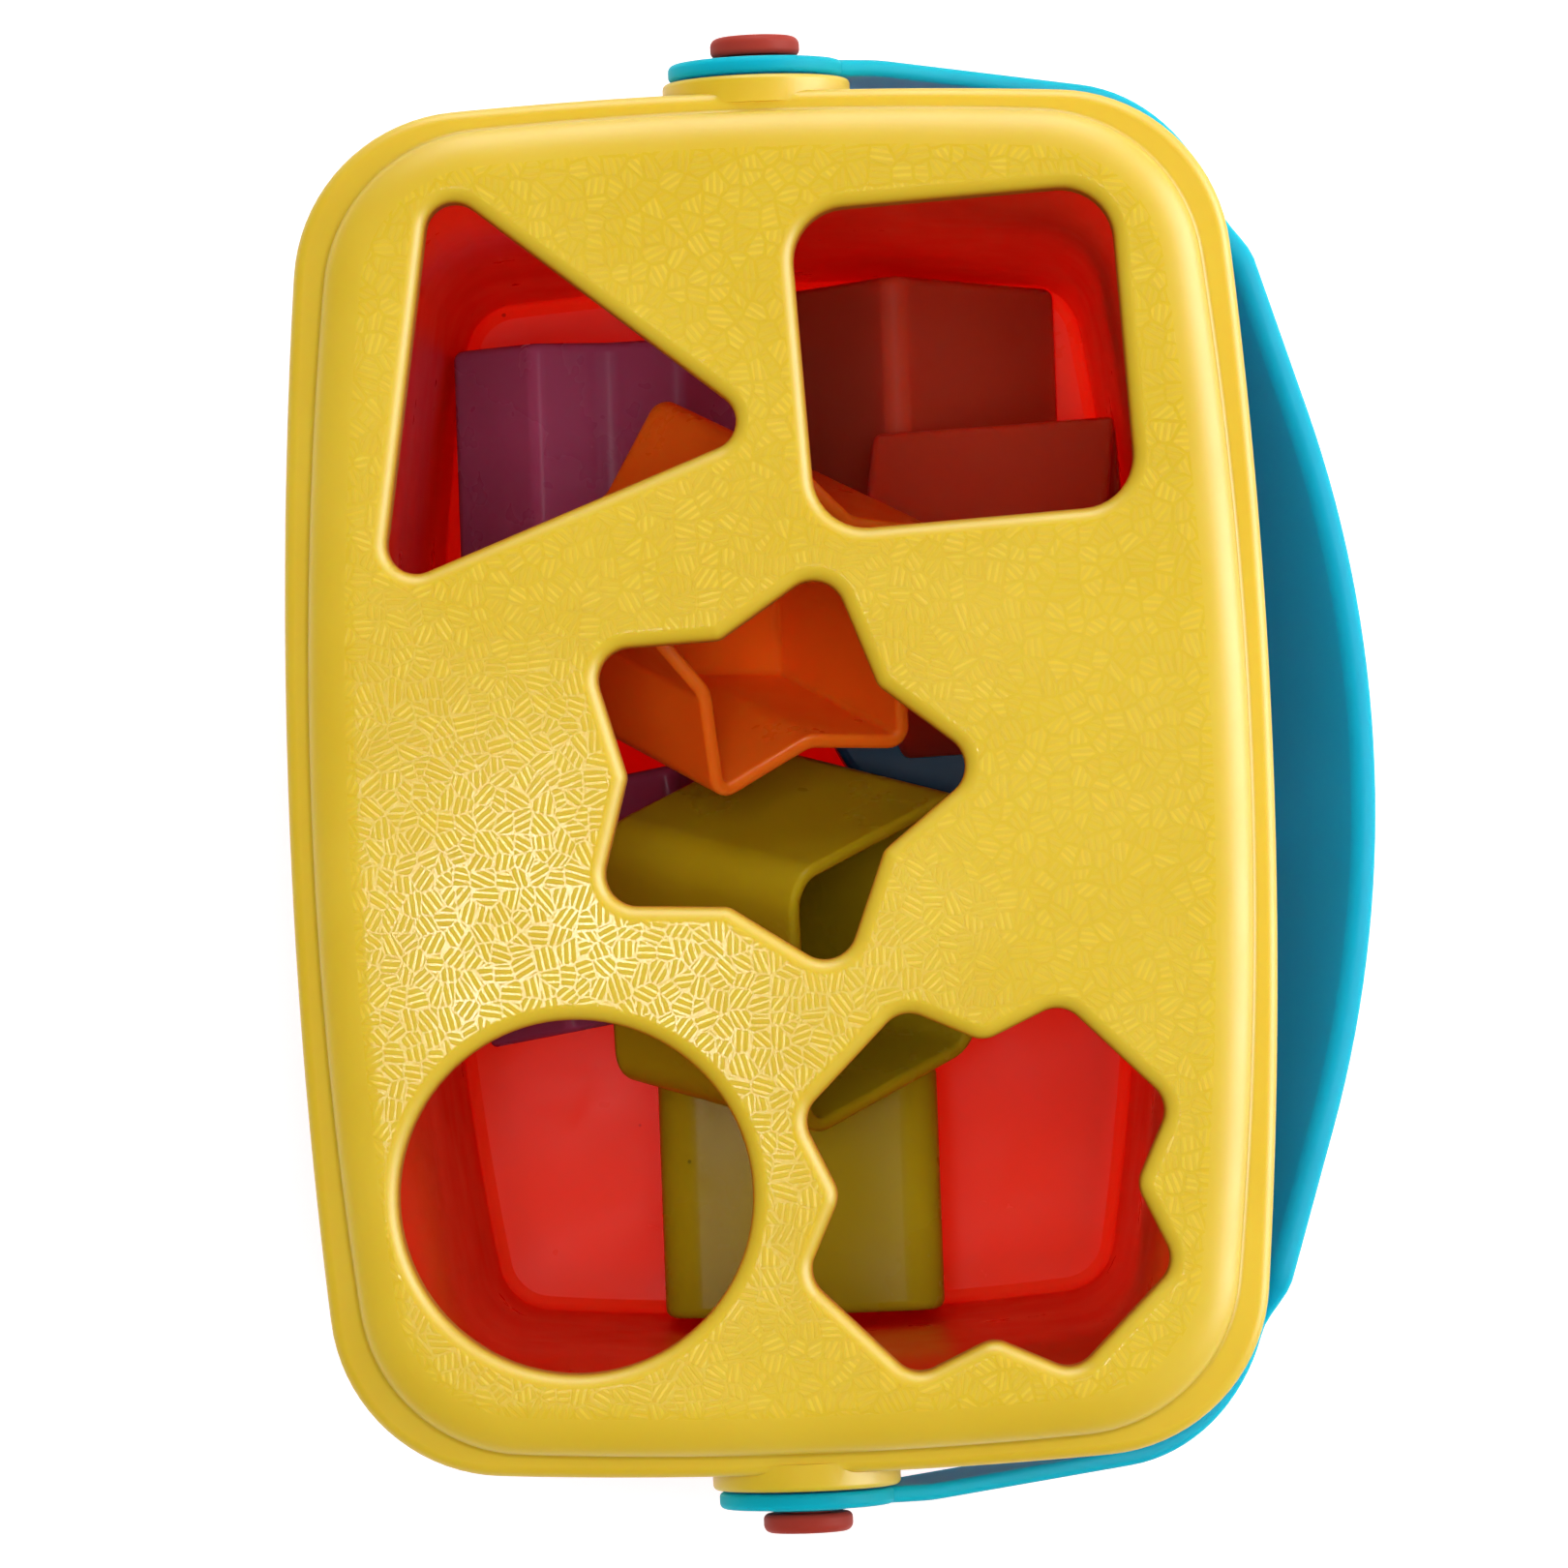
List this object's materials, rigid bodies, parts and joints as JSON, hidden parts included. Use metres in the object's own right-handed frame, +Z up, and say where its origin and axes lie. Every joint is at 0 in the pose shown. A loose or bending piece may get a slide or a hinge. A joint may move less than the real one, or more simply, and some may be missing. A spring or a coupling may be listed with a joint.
{
  "type": "shape sorter",
  "caption": "Toy shape sorter: a tub with a lift-off lid of shaped holes, a carrying handle swinging on snap pins, and hollow plastic blocks piled inside.",
  "frame": {"origin": "centre of the tub's flat underside, on the plane it stands on", "axes": "+Z up; +Y along the lid's longest side, towards the triangle and square holes; +X towards the side where the folded handle hangs"},
  "size_m": [0.1448, 0.1976, 0.134],
  "materials": {
    "lid_yellow": "moulded, fine stroke texture on the raised top",
    "tub_red": "moulded, glossy, lightly scuffed inside",
    "handle_blue": "moulded, glossy",
    "pin_red": "moulded, glossy",
    "square_green": "moulded, glossy, scuffed",
    "cross_purple": "moulded, glossy, scuffed",
    "star_orange": "moulded, glossy, scuffed",
    "triangle_red": "moulded, glossy, scuffed",
    "circle_blue": "moulded, glossy, scuffed"
  },
  "bodies": {
    "tub": {"tub": "tub_red"},
    "lid": {"lid": "lid_yellow", "pin_back": "pin_red", "pin_front": "pin_red"},
    "handle": {"handle": "handle_blue"},
    "block_square_a": {"block_square_a": "square_green"},
    "block_square_b": {"block_square_b": "square_green"},
    "block_cross_a": {"block_cross_a": "cross_purple"},
    "block_cross_b": {"block_cross_b": "cross_purple"},
    "block_star": {"block_star": "star_orange"},
    "block_triangle_a": {"block_triangle_a": "triangle_red"},
    "block_triangle_b": {"block_triangle_b": "triangle_red"},
    "block_circle": {"block_circle": "circle_blue"}
  },
  "joints": [
    {"name": "lid_lift", "type": "slide", "parent": "tub", "child": "lid", "axis": [0, 0, 1], "range_m": [0, 0.2]},
    {"name": "handle_swing", "type": "hinge", "parent": "lid", "child": "handle", "pos_m": [0, 0, 0.116], "axis": [0, -1, 0], "range_deg": [0, 240]},
    {"name": "triangle_a_lift", "type": "slide", "parent": "tub", "child": "block_triangle_a", "axis": [0, 0, 1], "range_m": [0, 0.008]},
    {"name": "cross_a_lift", "type": "slide", "parent": "block_triangle_a", "child": "block_cross_a", "axis": [0, 0, 1], "range_m": [0, 0.016]},
    {"name": "circle_lift", "type": "slide", "parent": "block_triangle_a", "child": "block_circle", "axis": [0, 0, 1], "range_m": [0, 0.01]},
    {"name": "triangle_b_lift", "type": "slide", "parent": "block_circle", "child": "block_triangle_b", "axis": [0, 0, 1], "range_m": [0, 0.01]},
    {"name": "star_lift", "type": "slide", "parent": "block_triangle_b", "child": "block_star", "axis": [0, 0, 1], "range_m": [0, 0.008]},
    {"name": "cross_b_lift", "type": "slide", "parent": "tub", "child": "block_cross_b", "axis": [0, 0, 1], "range_m": [0, 0.02]},
    {"name": "square_b_lift", "type": "slide", "parent": "block_cross_b", "child": "block_square_b", "axis": [0, 0, 1], "range_m": [0, 0.025]},
    {"name": "square_a_lift", "type": "slide", "parent": "tub", "child": "block_square_a", "axis": [0, 0, 1], "range_m": [0, 0.012]}
  ]
}
